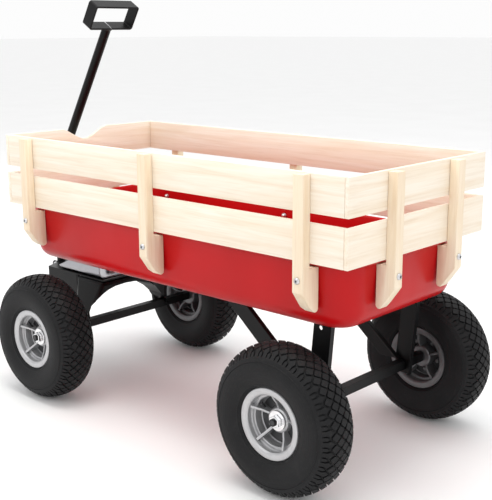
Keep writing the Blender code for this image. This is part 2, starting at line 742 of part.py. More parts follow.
# ---------------------------------------------------------------- handle

def handle_route():
    """Points in the XZ plane: straight up from the foot, one bend, straight to the grip."""
    foot = Vector((HANDLE_PIVOT[0], HANDLE_PIVOT[1] - HANDLE_FOOT))
    bend = Vector(HANDLE_BEND)
    top = Vector(HANDLE_TOP)
    first = (bend - foot).normalized()
    second = (top - bend).normalized()
    turn = first.angle(second)
    setback = HANDLE_BEND_RADIUS * math.tan(turn / 2)
    start = bend - first * setback
    centre = start + Vector((first.y, -first.x)) * HANDLE_BEND_RADIUS
    steps = 6
    route = [foot]
    for i in range(steps + 1):
        angle = math.pi - turn * i / steps
        spoke = Vector((math.cos(angle), math.sin(angle)))
        route.append(centre + spoke * HANDLE_BEND_RADIUS)
    route.append(top)
    return route


def build_handle(handle):
    curve = bpy.data.curves.new("handle_tube", "CURVE")
    curve.dimensions = "3D"
    curve.bevel_depth = HANDLE_RADIUS
    curve.bevel_resolution = 4
    curve.use_fill_caps = True
    spline = curve.splines.new("POLY")
    route = handle_route()
    spline.points.add(len(route) - 1)
    for point, (x, z) in zip(spline.points, route):
        point.co = (x, 0, z, 1)
    helper = part("handle_tube", curve, None, FRAME)
    mesh = baked_mesh(helper)
    for vertex in mesh.vertices:
        vertex.co -= design_origin(handle)
    tube = part("handle_tube", mesh, BLACK, handle, design_origin(handle))
    hole = cylinder_mesh("pin_hole", PIVOT_PIN_RADIUS + GAP, 0.060, 20)
    spot = (HANDLE_PIVOT[0], 0, HANDLE_PIVOT[1])
    boolean(tube, cutter("handle_pin_hole", hole, FRAME, spot, along((0, 1, 0), (1, 0, 0))))
    smooth(tube)
    build_grip(handle)


def build_grip(handle):
    """The strap loop on the tube's end: long way across the wagon, open way fore and aft."""
    rise = (Vector(HANDLE_TOP) - Vector(HANDLE_BEND)).normalized()
    up = Vector((rise.x, 0, rise.y))
    centre = Vector((HANDLE_TOP[0], 0, HANDLE_TOP[1])) + up * (GRIP_HEIGHT / 2 + GAP)
    outer = rounded_rectangle(GRIP_WIDTH / 2, GRIP_HEIGHT / 2, GRIP_CORNER, 4)
    inner_sides = (GRIP_WIDTH / 2 - GRIP_STRAP, GRIP_HEIGHT / 2 - GRIP_STRAP)
    inner = rounded_rectangle(*inner_sides, GRIP_CORNER - GRIP_STRAP, 4)
    curve = outline_curve("handle_grip", [outer, inner], GRIP_DEPTH)
    across = Vector((0, 1, 0))
    part("handle_grip", curve, BLACK, handle, centre, axes(across, up, across.cross(up)))


def build_pivot_pin(steering):
    half = EAR_INNER + PLATE + 2 * GAP
    head, rise = PIVOT_HEAD
    upper = [(0, half + rise), (head * 0.88, half + rise * 0.9), (head, half)]
    upper.append((PIVOT_PIN_RADIUS, half))
    profile = upper + [(radius, -height) for radius, height in reversed(upper)]
    spot = (HANDLE_PIVOT[0], 0, HANDLE_PIVOT[1])
    turn = along((0, 1, 0), (0, 0, 1))
    turned_object("handle_pin", profile, 20, ZINC, steering, spot, turn)


# ---------------------------------------------------------------- rear stand

def build_rear_stand():
    """Two upright legs over the axle beam and two braces running forward to the bed."""
    bed = BED_FLOOR - GAP
    beam_top = BEAM_HEIGHT + BEAM_SIZE / 2 + GAP
    for side, sign in SIDES:
        y = sign * LEG_FACE_Y
        leg = build_strut(
            f"rear_leg_{side}", sign, (LEG_TOP_X, y, bed), (LEG_FOOT[0], y, LEG_FOOT[1]), LEG_WIDTH
        )
        socket = BEAM_SIZE / 2 + GAP
        low = (REAR_AXLE_X - socket, y - 0.030, BEAM_HEIGHT - socket)
        high = (REAR_AXLE_X + socket, y + 0.030, BEAM_HEIGHT + socket)
        boolean(leg, cutter(f"rear_leg_{side}_socket", box_mesh("socket", low, high), FRAME))
        drill = cylinder_mesh("drill", LEG_DRILL_RADIUS, 0.060, 16)
        spot = (LEG_TOP_X + LEG_DRILL_OFFSET[0], y, bed + LEG_DRILL_OFFSET[1])
        turn = along((0, 1, 0), (1, 0, 0))
        boolean(leg, cutter(f"rear_leg_{side}_hole", drill, FRAME, spot, turn))
        y = sign * BRACE_FACE_Y
        top, foot = (BRACE_TOP_X, y, bed), (BRACE_FOOT_X, y, beam_top)
        build_strut(f"rear_brace_{side}", sign, top, foot, BRACE_WIDTH)


def build_strut(name, sign, top, foot, width):
    """An angle-section bar from the bed down, cut level at both ends, with a pad at its top."""
    top, foot = Vector(top), Vector(foot)
    direction = (foot - top).normalized()
    inward = Vector((0, -sign, 0))
    across = inward.cross(direction)
    if across.x < 0:
        across = -across
    half = width / 2
    section = [(-half, 0), (half, 0), (half, FLANGE), (half - PLATE, FLANGE)]
    section += [(half - PLATE, PLATE), (-half, PLATE)]
    length = (foot - top).length + 2 * STRUT_MARGIN
    turn = axes(across, inward, across.cross(inward))
    middle = (top + foot) / 2
    bar = part(name, plate_mesh(name, [section], length), None, FRAME, middle, turn)
    slab = box_mesh("slab", (-0.4, -0.4, foot.z), (0.8, 0.4, top.z))
    limits = part("strut_limits", slab, None, FRAME)
    boolean(bar, limits, "INTERSECT")
    inner = -sign * PAD_REACH
    low = (top.x - half, min(0, inner), -PLATE)
    high = (top.x + half, max(0, inner), 0)
    pad = part("strut_pad", box_mesh("pad", low, high), None, FRAME, (0, top.y, top.z))
    boolean(bar, pad, "UNION")
    mesh = baked_mesh(bar)
    for helper in (limits, pad):
        bpy.data.objects.remove(helper, do_unlink=True)
    return part(name, mesh, BLACK, FRAME, middle, turn)


# ---------------------------------------------------------------- assembly

def build_wagon():
    build_bed()
    build_slats()
    build_stakes()
    build_rear_stand()
    build_cradle()
    build_kingpin()
    steering = pivot("steering_pivot", FRAME, (KINGPIN_X, 0, BOLSTER_TOP))
    handle = pivot("handle_pivot", steering, (HANDLE_PIVOT[0], 0, HANDLE_PIVOT[1]))
    build_bolster(steering)
    build_drawbar(steering)
    build_pivot_pin(steering)
    build_handle(handle)
    axle = axle_mesh("axle")
    part("front_axle", axle, BLACK, steering, (FRONT_AXLE_X, 0, 0))
    part("rear_axle", axle, BLACK, FRAME, (REAR_AXLE_X, 0, 0))
    rim = rim_mesh()
    for end, parent, x in (("front", steering, FRONT_AXLE_X), ("rear", FRAME, REAR_AXLE_X)):
        for side, sign in SIDES:
            build_wheel(f"{end}_{side}", parent, x, sign, rim)


clear_scene()
PARTS = new_collection("kids_pull_wagon")
CUTTERS = new_collection("cutters", hidden=True)
WOOD = material("wood", (0.87, 0.78, 0.62), 0.55)
PAINT = material("red_paint", (0.52, 0.012, 0.012), 0.28)
BLACK = material("black_paint", (0.018, 0.018, 0.019), 0.42)
RUBBER = material("rubber", (0.022, 0.022, 0.024), 0.75)
RIM_PAINT = material("silver_paint", (0.50, 0.50, 0.51), 0.38, 0.6)
ZINC = material("zinc", (0.62, 0.62, 0.63), 0.30, 1.0)
CHROME = material("chrome", (0.70, 0.70, 0.71), 0.15, 1.0)
NYLON = material("nylon", (0.05, 0.05, 0.05), 0.50)
FRAME = bpy.data.objects.new("wagon_frame", None)
PARTS.objects.link(FRAME)
FRONT_END = HANDLE_PIVOT[0] - EAR_TIP
REAR_END = SIDE_HALF_LENGTH + STAKE_THICKNESS + 2 * GAP + BOLT_HEAD_HEIGHT
FRAME.location.x = -(FRONT_END + REAR_END) / 2
build_wagon()
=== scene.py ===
"""Visual model of the kids' pull wagon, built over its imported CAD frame."""

import json
import math

import bmesh
import bpy
import numpy as np
from mathutils import Matrix, Vector

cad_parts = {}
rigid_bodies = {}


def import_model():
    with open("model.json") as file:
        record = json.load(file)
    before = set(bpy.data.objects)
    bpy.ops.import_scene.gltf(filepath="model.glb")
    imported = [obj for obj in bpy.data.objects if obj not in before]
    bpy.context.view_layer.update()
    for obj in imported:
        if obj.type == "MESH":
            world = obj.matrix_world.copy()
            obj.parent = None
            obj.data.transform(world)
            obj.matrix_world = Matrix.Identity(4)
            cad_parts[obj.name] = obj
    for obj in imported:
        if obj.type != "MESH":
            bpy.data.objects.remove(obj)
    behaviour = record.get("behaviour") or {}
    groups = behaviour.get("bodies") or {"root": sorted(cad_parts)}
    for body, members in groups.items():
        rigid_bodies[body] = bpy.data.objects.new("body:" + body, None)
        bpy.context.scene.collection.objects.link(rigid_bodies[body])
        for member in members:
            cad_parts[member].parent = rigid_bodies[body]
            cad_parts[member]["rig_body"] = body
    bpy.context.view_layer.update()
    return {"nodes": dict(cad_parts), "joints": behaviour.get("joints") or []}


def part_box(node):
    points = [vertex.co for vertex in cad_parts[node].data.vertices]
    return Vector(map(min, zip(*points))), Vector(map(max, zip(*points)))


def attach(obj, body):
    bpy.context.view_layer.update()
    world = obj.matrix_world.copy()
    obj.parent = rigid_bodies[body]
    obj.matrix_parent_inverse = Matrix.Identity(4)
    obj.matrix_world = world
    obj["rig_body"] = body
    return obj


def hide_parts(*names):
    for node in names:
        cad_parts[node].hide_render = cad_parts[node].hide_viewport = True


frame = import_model()
NODES = frame["nodes"]
JOINTS = {joint["name"]: joint for joint in frame["joints"]}

SIDES = (("left", -1), ("right", 1))
ENDS = ("front", "rear")
UP = Vector((0, 0, 1))

# Lengths are in metres. A profile is a row of (radius, height) pairs about local Z.

# Rounded edges, and the clean-up of a CAD solid before its edges are rounded (angles in degrees)
EASE_SEGMENTS, EASE_ANGLE, REFINED_EASE_ANGLE = 2, 30, 28
SAME_POINT, SAME_PLANE_ANGLE = 0.00002, 0.6
# Faces that meet at a smaller angle than this are shaded as one surface
SMOOTH_ANGLE, TURNED_SMOOTH_ANGLE, TUBE_SMOOTH_ANGLE = 35, 32, 40
ROUNDED_SMOOTH_ANGLE, TYRE_SMOOTH_ANGLE, RIM_SMOOTH_ANGLE, NUT_SMOOTH_ANGLE = 50, 38, 30, 20
BOARD_SMOOTH_ANGLE, NOTCH_SMOOTH_ANGLE = 40, 30
# A turned profile's points nearer the axis than this are one point
ON_AXIS = 1e-7

# Bed tray: base outline, corner, bottom fillet, lean of the walls, sheet, rolled rim
BED_HALF_LENGTH, BED_HALF_WIDTH = 0.412, 0.1675
BED_CORNER, BED_FILLET, BED_LEAN, BED_SHEET = 0.050, 0.028, 0.007, 0.0014
CORNER_STEPS, FILLET_STEPS, WALL_STEPS = 10, 8, 4
ROLL_RADIUS, ROLL_STEPS, ROLL_STEP = 0.00375, 9, math.radians(28)
RIM_CLEARANCE = 0.0002
BED_MIDDLE = sum(corner.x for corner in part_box("bed_tray")) / 2

# Slats and stakes
SLAT_EASE = 0.0011
NOTCH_HALF_WIDTH, NOTCH_DEPTH, NOTCH_EASE, NOTCH_STEPS = 0.064, 0.0235, 0.0010, 36
STAKE_SPOTS = ("front", "middle", "rear")
STAKE_THICKNESS, STAKE_STEP, STAKE_EASE = 0.018, 0.378, 0.0013
# The foot of a stake: (distance from the tray's face, height), then (from the outer face, height)
STAKE_TOE = ((0, 0.3112), (0.0010, 0.3078), (0.0040, 0.3054), (0.0085, 0.3052))
STAKE_HEEL = ((-0.0195, 0.3142), (0, 0.3415))

# Stake screws: pan head standing on local Z = 0, crossed recess drawn as a thin dark cross of
# painted shade, domed nut below its seat
HEAD_HEIGHT, NUT_HEIGHT, SHANK_RADIUS = 0.0045, 0.0062, 0.0030
HEAD_SIDES, DOME_SIDES = 20, 12
SCREW_HEAD = [(0, 0.0011), (0.0012, 0.0010), (0.0013, 0.0032), (0.0030, 0.0037), (0.0043, 0.0029),
              (0.0053, 0.0016), (0.0056, 0.0004), (0.0056, 0.0), (SHANK_RADIUS, 0.0)]
SCREW_NUT = [(SHANK_RADIUS, 0), (0.0058, 0), (0.0058, -0.0006), (0.0049, -0.0007), (0.0049, -0.0030),
             (0.0040, -0.0034), (0.0036, -0.0047), (0.0022, -0.0059), (0, -NUT_HEIGHT)]
RECESS_SIZE, RECESS_HEIGHT, RECESS_TURN = (0.0052, 0.0009, 0.0006), 0.00355, 0.5

# Tyre section: a superellipse from the crown to the widest point
BEAD_RADIUS, CROWN_HEIGHT, TYRE_HALF_WIDTH, SECTION_POWER = 0.088, 0.0388, 0.0428, 2.4
SECTION_SAMPLES, SECTION_END, SLOPE_STEP, CROWN_ANGLE = 1500, 75, 0.5, 1
CARCASS_STEPS, CARCASS_SIDES, WALL_START = 32, 144, 74
TYRE_WALL = [(0.0855, 0.0426), (0.0800, 0.0420), (0.0745, 0.0407), (0.0690, 0.0388),
             (0.0660, 0.0376), (0.0650, 0.0377), (0.0642, 0.0366), (0.0625, 0.0350),
             (0.0608, 0.0330), (0.0604, 0.0308), (0.0560, 0.0300), (0.0556, 0.0200)]
# A thin moulded ring on each wall: (radius, height above the wall)
MOULD_RING = ((0.1050, -0.0002), (0.1046, 0.0007), (0.1036, 0.0008), (0.1030, -0.0002))

# Tread: grooves fade out at an angle round the section; blocks have a root, a wall and a top
TREAD_PITCHES, TREAD_DEPTH, TREAD_RADIUS = 42, 0.0032, 0.127
TREAD_PITCH = math.tau / TREAD_PITCHES
GROOVE_END, GROOVE_FADE = 59, 7
BLOCK_ROOT, BLOCK_EDGE, BLOCK_EASE = 0.0015, 0.0006, 0.0005
DIAMOND_ROWS, ROW_STEP, DIAMOND_FILL, DIAMOND_BLUNT = range(-2, 3), 0.0098, 0.845, 0.13
# Shoulder lugs, one half of each: (share of half a pitch, distance from the crown line)
LONG_LUG = ((0, 0.0215), (0.60, 0.0285), (0.44, 0.0340), (0.47, 0.0465))
SHORT_LUG = ((0, 0.0308), (0.34, 0.0345), (0.36, 0.0440))

# Rim: one side of the drum and its broad rounded flange, the hub's two faces, ribs and web
RIM_PROFILE = [(0.0400, 0.0030), (0.0412, 0.0045), (0.0418, 0.0185), (0.0430, 0.0198),
               (0.0470, 0.0202), (0.0480, 0.0215), (0.0480, 0.0258), (0.0468, 0.0270),
               (0.0474, 0.0312), (0.0490, 0.0332), (0.0512, 0.0342), (0.0565, 0.0345),
               (0.0590, 0.0340), (0.0600, 0.0327), (0.0600, 0.0312), (0.0585, 0.0308),
               (0.0550, 0.0306)]
RIM_SIDES, WEB_SIDES, HUB_SIDES, STUD_SIDES = 96, 64, 48, 20
HUB_FACE, HUB_BACK = 0.0120, 0.0220
# Hub boss as (radius, depth below its face), ending on the web
HUB_BOSS = ((0.0098, 0), (0.0185, 0), (0.0205, 0.0015), (0.0215, 0.0040))
HUB_FOOT = (0.0225, 0.0020)
RIB_COUNT, RIB_START, RIB_HALF, RIB_EASE, RIB_FLAT = 5, 0.944, 0.0021, 0.0006, 0.55
# A rib's outline: its foot on the web, its two points on the drum, then its low hub end.
# The first three points lie inside the casting; the others are the free edge, which is eased.
RIB_FOOT_POINTS = 3
RIB_ROOT, RIB_END, RIB_FOOT, RIB_DROP = 0.0200, 0.0455, 0.0015, 0.0010
RIB_DRUM = ((0.0468, 0.0285), (0.0440, 0.0275))
RIB_DIP = (0.0320, 0.0055)
STUD_PLACE = (0.0290, 0, -0.0030)
STUD = [(0, -0.0052), (0.0030, -0.0052), (0.0040, -0.0042), (0.0040, 0.0010)]
WEB_HALF = [(0.0410, 0.0032), (0.0385, 0.0022), (0.0225, 0.0022)]
WEB_INNER = (0.0222, -0.0022)
# Rim faces nearer the wagon than this are drawn darker grey: painted shade on the rim's inner side
SHADED_SIDE_BELOW = -0.004

# Axle ends and valve stem; the nut's flat faces are a share of its half width across flats
WASHER_SIDES, NUT_SIDES, TIP_SIDES, STEM_SIDES = 40, 6, 24, 20
NUT_FACE_SHARE = 0.97
WASHER = [(0.0066, 0.0), (0.0165, 0.0), (0.0168, 0.0004), (0.0165, 0.0014), (0.0066, 0.0014)]
WASHER_LIFT, NUT_LIFT = 0.0007, 0.0016
AXLE_NUT = {"bore": 0.0062, "across": 0.0190, "height": 0.0085, "chamfer": 0.0008}
SPINDLE_TIP = [(0, 0.0118), (0.0040, 0.0116), (0.0058, 0.0100), (0.0058, 0.0)]
VALVE_STEM = [(0, 0.0265), (0.0022, 0.0263), (0.0030, 0.0250), (0.0031, 0.0175), (0.0024, 0.0170),
              (0.0026, 0.0150), (0.0037, 0.0080), (0.0046, 0.0010), (0.0060, 0.0),
              (0.0060, -0.0020), (0, -0.0020)]
VALVE_FOOT, VALVE_TIP = Vector((0.006, 0.0335, 0.002)), Vector((0.027, 0.0285, 0.0215))

# Handle: an upright tube, bent back above the pivot, with a flat strap grip welded on
TUBE_RADIUS, TUBE_SIDES = 0.0095, 32
HANDLE_BEND_HEIGHT, HANDLE_LEAN, HANDLE_TOP = 0.412, 0.1982, 0.7415
BEND_RADIUS, BEND_STEPS = 0.090, 16
GRIP_WELD = [(0.0095, -0.0060), (0.0104, -0.0040), (0.0118, -0.0012), (0.0128, 0.0)]
GRIP_WIDTH, GRIP_HEIGHT, GRIP_STRAP, GRIP_DEPTH = 0.113, 0.0535, 0.0040, 0.028
GRIP_OUTER_CORNER, GRIP_INNER_CORNER, GRIP_CORNER_STEPS = 0.0056, 0.0018, 6
GRIP_GAP, GRIP_EASE, GRIP_FLAT = 0.0003, 0.0011, 0.3
SEAM_SIZE = (0.0012, 0.0005, GRIP_DEPTH - 0.002)

# Steelwork: how far the edges of each refined node are rounded, and the drawbar's welds
EDGES = {
    "front_bolster": 0.0007, "drawbar": 0.0006, "front_axle": 0.0010, "rear_axle": 0.0010,
    "rear_leg_left": 0.0007, "rear_leg_right": 0.0007, "rear_brace_left": 0.0007,
    "rear_brace_right": 0.0007,
}
CRADLE_EDGE, PIN_EDGE = 0.0006, 0.0004
WELD_SETBACK, WELD_HALF_SPACING, WELD_RADIUS, WELD_FLATTEN = -0.0020, 0.0540, 0.0034, 0.8
WELD_HEIGHTS, WELD_SIDES = (0.167, 0.188, 0.209), 16

# Studio: area lights as (name, place, target, size, power, colour)
WHITE = (1, 1, 1)
LIGHTS = (
    ("key", (-0.6, -3.0, 2.4), (0, 0, 0.30), (2.6, 2.0), 15, WHITE),
    ("rear_fill", (3.2, -0.6, 1.5), (0, 0, 0.30), (2.2, 2.2), 7, WHITE),
    ("overhead", (0.0, 0.4, 3.2), (0, 0, 0.2), (3.4, 3.0), 40, WHITE),
    ("inside", (0.15, -0.25, 1.45), (-0.1, 0.17, 0.46), (0.9, 0.3), 6.0, (1.0, 0.985, 0.93)),
    ("front_fill", (-3.0, 1.0, 1.6), (0, 0, 0.4), (2.2, 2.0), 6, WHITE),
)
WORLD_STRENGTH = 0.98
FLOOR_SIZE, FLOOR_CELLS = 60, 8
CAMERA_PLACE = (1.3065, -1.3099, 0.7388)
CAMERA_YAW, CAMERA_PITCH, CAMERA_ROLL = (math.radians(a) for a in (132.726, 13.054, -0.222))
CAMERA_LENS, CAMERA_SENSOR = 69.06, 36


# ---------------------------------------------------------------- placing and meshes

def axes(x_axis, y_axis, z_axis):
    return Matrix((x_axis, y_axis, z_axis)).transposed()


def along(z_axis, x_hint):
    z = Vector(z_axis).normalized()
    y = z.cross(Vector(x_hint)).normalized()
    return axes(y.cross(z), y, z)


def matrix(location, rotation=None):
    turn = rotation.to_4x4() if rotation else Matrix.Identity(4)
    return Matrix.Translation(Vector(location)) @ turn


def body_of(node):
    return NODES[node]["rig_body"]


def middle_and_size(node):
    low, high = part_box(node)
    return (low + high) / 2, high - low


def add(name, mesh, look, body, place=None, stands_for=()):
    """A visible piece: its mesh, material, body, and the CAD nodes that it stands for."""
    obj = bpy.data.objects.new(name, mesh)
    bpy.context.scene.collection.objects.link(obj)
    obj.matrix_world = place or Matrix.Identity(4)
    if not mesh.materials:
        mesh.materials.append(look)
    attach(obj, body)
    if stands_for:
        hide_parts(*stands_for)
    return obj


def finish_mesh(bm, name, smooth_angle=SMOOTH_ANGLE):
    bmesh.ops.recalc_face_normals(bm, faces=bm.faces)
    mesh = bpy.data.meshes.new(name)
    bm.to_mesh(mesh)
    bm.free()
    mesh.shade_smooth()
    mesh.set_sharp_from_angle(angle=math.radians(smooth_angle))
    return mesh


def bevelled(bm, width):
    sharp = [e for e in bm.edges if len(e.link_faces) == 2]
    sharp = [e for e in sharp if e.calc_face_angle(0) > math.radians(EASE_ANGLE)]
    bmesh.ops.bevel(
        bm, geom=sharp, offset=width, segments=EASE_SEGMENTS, profile=0.5,
        affect="EDGES", clamp_overlap=True,
    )


def cuboid(bm, size, centre):
    vertices = bmesh.ops.create_cube(bm, size=1)["verts"]
    bmesh.ops.scale(bm, vec=size, verts=vertices)
    bmesh.ops.translate(bm, vec=centre, verts=vertices)
    return vertices


def join_rings(bm, rings):
    """Faces between each ring of points and the next."""
    for below, above in zip(rings, rings[1:]):
        for i, point in enumerate(below):
            j = (i + 1) % len(below)
            bm.faces.new((point, below[j], above[j], above[i]))


def prism(name, outline, low, high, width, smooth_angle):
    """An outline in local XY, given thickness along local Z, with rounded edges."""
    bm = bmesh.new()
    rings = [[bm.verts.new((x, y, z)) for x, y in outline] for z in (low, high)]
    bm.faces.new(rings[0][::-1])
    bm.faces.new(rings[1])
    join_rings(bm, rings)
    bmesh.ops.recalc_face_normals(bm, faces=bm.faces)
    bevelled(bm, width)
    return finish_mesh(bm, name, smooth_angle)


def lathe_into(bm, profile, steps, closed=False, place=None):
    """Revolves (radius, height) pairs about local Z, sharing the points on the axis."""
    columns = []
    count = len(profile)
    for i in range(steps):
        angle = math.tau * i / steps
        column = []
        for k, (radius, height) in enumerate(profile):
            if radius < ON_AXIS and i:
                column.append(columns[0][k])
                continue
            point = Vector((radius * math.cos(angle), radius * math.sin(angle), height))
            column.append(bm.verts.new(place @ point if place else point))
        columns.append(column)
    for i in range(steps):
        a, b = columns[i], columns[(i + 1) % steps]
        for k in range(count if closed else count - 1):
            n = (k + 1) % count
            ring = [a[k], b[k], b[n], a[n]]
            unique = [v for j, v in enumerate(ring) if v not in ring[:j]]
            if len(unique) > 2:
                bm.faces.new(unique)


def lathe(name, profile, steps, closed=False):
    bm = bmesh.new()
    lathe_into(bm, profile, steps, closed)
    return finish_mesh(bm, name, TURNED_SMOOTH_ANGLE)


def tube_along(bm, points, radius, sides):
    """A round tube, closed at both ends, through points in the XZ plane of local space."""
    across = Vector((0, 1, 0))
    rings = []
    for i, point in enumerate(points):
        before = points[max(i - 1, 0)]
        after = points[min(i + 1, len(points) - 1)]
        direction = (Vector(after) - Vector(before)).normalized()
        up = direction.cross(across).normalized()
        ring = []
        for k in range(sides):
            a = math.tau * k / sides
            offset = (across * math.cos(a) + up * math.sin(a)) * radius
            ring.append(bm.verts.new(Vector(point) + offset))
        rings.append(ring)
    join_rings(bm, rings)
    bm.faces.new(rings[0][::-1])
    bm.faces.new(rings[-1])


def refined(node, look, width):
    """The CAD solid with its flat faces merged and its edges rounded over."""
    bm = bmesh.new()
    bm.from_mesh(NODES[node].data)
    bmesh.ops.remove_doubles(bm, verts=bm.verts, dist=SAME_POINT)
    bmesh.ops.dissolve_limit(
        bm, angle_limit=math.radians(SAME_PLANE_ANGLE), verts=bm.verts, edges=bm.edges,
        use_dissolve_boundaries=False,
    )
    mesh = bpy.data.meshes.new(f"{node}_steel")
    bm.to_mesh(mesh)
    bm.free()
    mesh.materials.clear()
    obj = add(f"{node}_steel", mesh, look, body_of(node), stands_for=(node,))
    bevel = obj.modifiers.new("edges", "BEVEL")
    bevel.width = width
    bevel.segments = EASE_SEGMENTS
    bevel.limit_method = "ANGLE"
    bevel.angle_limit = math.radians(REFINED_EASE_ANGLE)
    bevel.use_clamp_overlap = True
    mesh.shade_smooth()
    mesh.set_sharp_from_angle(angle=math.radians(SMOOTH_ANGLE))
    weighted = obj.modifiers.new("shading", "WEIGHTED_NORMAL")
    weighted.keep_sharp = True


# ---------------------------------------------------------------- materials

class Look:
    """A material under construction: nodes are added by type and wired by name."""

    def __init__(self, name, colour, roughness, metallic=0.0, **extra):
        self.made = bpy.data.materials.new(name)
        self.made.use_nodes = True
        self.tree = self.made.node_tree
        self.shader = self.tree.nodes["Principled BSDF"]
        self.shader.inputs["Base Color"].default_value = (*colour, 1)
        self.shader.inputs["Roughness"].default_value = roughness
        self.shader.inputs["Metallic"].default_value = metallic
        for key, value in extra.items():
            self.shader.inputs[key.replace("_", " ")].default_value = value
        self.made.diffuse_color = (*colour, 1)
        self.coords = self.node("ShaderNodeTexCoord").outputs["Object"]

    def node(self, kind, **settings):
        """A node; a setting is an input's name, its spaces written as _, or an attribute."""
        made = self.tree.nodes.new(kind)
        for key, value in settings.items():
            if key.replace("_", " ") in made.inputs:
                made.inputs[key.replace("_", " ")].default_value = value
            else:
                setattr(made, key, value)
        return made

    def link(self, source, target):
        self.tree.links.new(source, target)

    def mapped(self, scale=(1, 1, 1), offset=(0, 0, 0)):
        mapping = self.node("ShaderNodeMapping", Scale=scale, Location=offset)
        self.link(self.coords, mapping.inputs["Vector"])
        return mapping.outputs["Vector"]

    def noise(self, vector, scale, detail, rough, distortion=0.0):
        made = self.node(
            "ShaderNodeTexNoise", Scale=scale, Detail=detail, Roughness=rough, Distortion=distortion
        )
        self.link(vector, made.inputs["Vector"])
        return made.outputs["Fac"]

    def ramp(self, value, stops):
        made = self.node("ShaderNodeValToRGB")
        elements = made.color_ramp.elements
        while len(elements) < len(stops):
            elements.new(0.5)
        for element, (position, colour) in zip(elements, stops):
            element.position = position
            rgb = colour if isinstance(colour, tuple) else (colour,) * 3
            element.color = (*rgb, 1)
        self.link(value, made.inputs["Fac"])
        return made.outputs["Color"]

    def mix(self, factor, first, second, blend="MIX"):
        made = self.node("ShaderNodeMix", data_type="RGBA", blend_type=blend)
        if isinstance(factor, float):
            made.inputs[0].default_value = factor
        else:
            self.link(factor, made.inputs[0])
        for socket, value in ((6, first), (7, second)):
            if isinstance(value, tuple):
                made.inputs[socket].default_value = (*value, 1)
            else:
                self.link(value, made.inputs[socket])
        return made.outputs[2]

    def colour(self, value):
        self.link(value, self.shader.inputs["Base Color"])

    def roughness(self, value, low, high):
        made = self.node("ShaderNodeMapRange", To_Min=low, To_Max=high)
        self.link(value, made.inputs["Value"])
        self.link(made.outputs["Result"], self.shader.inputs["Roughness"])

    def bump(self, *layers):
        """Layers of (height, distance in metres, strength), each over the one before."""
        last = None
        for height, distance, strength in layers:
            made = self.node("ShaderNodeBump", Distance=distance, Strength=strength)
            self.link(height, made.inputs["Height"])
            if last:
                self.link(last, made.inputs["Normal"])
            last = made.outputs["Normal"]
        self.link(last, self.shader.inputs["Normal"])


def stretched(direction, share):
    """A mapping scale that draws a pattern out along one axis."""
    scale = [1.0, 1.0, 1.0]
    scale[direction] = share
    return scale


def wood_look(name, direction, tone=(1.0, 1.0, 1.0)):
    """Pale planed softwood: fine streaks, faint growth rings, a few darker veins, open pores."""
    look = Look(name, (0.80, 0.70, 0.56), 0.5)
    fine = stretched(direction, 0.035)
    streaks = look.noise(look.mapped(fine), scale=260, detail=5, rough=0.62, distortion=0.2)
    ring_coords = look.mapped(stretched(direction, 0.10), (0.37, 0.11, 0.23))
    bands = look.noise(ring_coords, scale=34, detail=3, rough=0.5, distortion=1.6)
    waves = look.node(
        "ShaderNodeTexWave", Scale=9.0, Distortion=7.0, Detail=3.0, Detail_Scale=0.8,
        wave_type="BANDS", bands_direction="Z" if direction != 2 else "Y",
    )
    look.link(ring_coords, waves.inputs["Vector"])
    base = look.ramp(streaks, ((0.25, (0.79, 0.685, 0.555)), (0.48, (0.865, 0.785, 0.67)),
                               (0.75, (0.895, 0.83, 0.73))))
    tint = look.ramp(bands, ((0.35, (0.965, 0.925, 0.875)), (0.65, (1.0, 1.0, 1.0))))
    tinted = look.mix(1.0, look.mix(1.0, base, tone, "MULTIPLY"), tint, "MULTIPLY")
    lines = look.ramp(waves.outputs["Fac"], ((0.0, (0.88, 0.79, 0.68)), (0.25, (1.0, 1.0, 1.0))))
    lined = look.mix(0.28, tinted, lines, "MULTIPLY")
    vein_coords = look.mapped(stretched(direction, 0.14), (1.7, 0.4, 0.9))
    veins = look.noise(vein_coords, scale=17, detail=2, rough=0.45, distortion=0.6)
    vein = look.ramp(veins, ((0.695, 0.0), (0.79, 0.42)))
    look.colour(look.mix(vein, lined, (0.50, 0.30, 0.155)))
    look.roughness(streaks, 0.42, 0.62)
    pores = look.noise(look.mapped(fine, (0.2, 0.5, 0.1)), scale=900, detail=3, rough=0.7)
    look.bump((streaks, 0.00035, 0.55), (pores, 0.00015, 0.5))
    return look.made


def paint_look():
    """Glossy red powder coat with a slight orange peel over lightly uneven sheet."""
    look = Look("red_paint", (0.50, 0.005, 0.007), 0.32, Coat_Weight=0.05, Coat_Roughness=0.2,
                Specular_IOR_Level=0.17)
    cloud = look.noise(look.mapped(), scale=6, detail=3, rough=0.5)
    look.colour(look.ramp(cloud, ((0.3, (0.43, 0.0035, 0.005)), (0.7, (0.50, 0.0052, 0.0075)))))
    peel = look.noise(look.mapped(), scale=420, detail=2, rough=0.5)
    wave = look.noise(look.mapped(stretched(2, 0.35)), scale=7.5, detail=2, rough=0.5)
    look.roughness(cloud, 0.24, 0.36)
    look.bump((wave, 0.012, 0.30), (peel, 0.0003, 0.25))
    return look.made


def black_look():
    """Satin black powder coat, slightly grainy."""
    look = Look("black_paint", (0.004, 0.004, 0.0045), 0.36, Specular_IOR_Level=0.18)
    grain = look.noise(look.mapped(), scale=700, detail=3, rough=0.6)
    cloud = look.noise(look.mapped(), scale=30, detail=3, rough=0.6)
    look.colour(look.ramp(cloud, ((0.3, (0.003, 0.003, 0.0033)), (0.75, (0.006, 0.006, 0.0065)))))
    look.roughness(cloud, 0.30, 0.46)
    look.bump((grain, 0.0002, 0.5),)
    return look.made


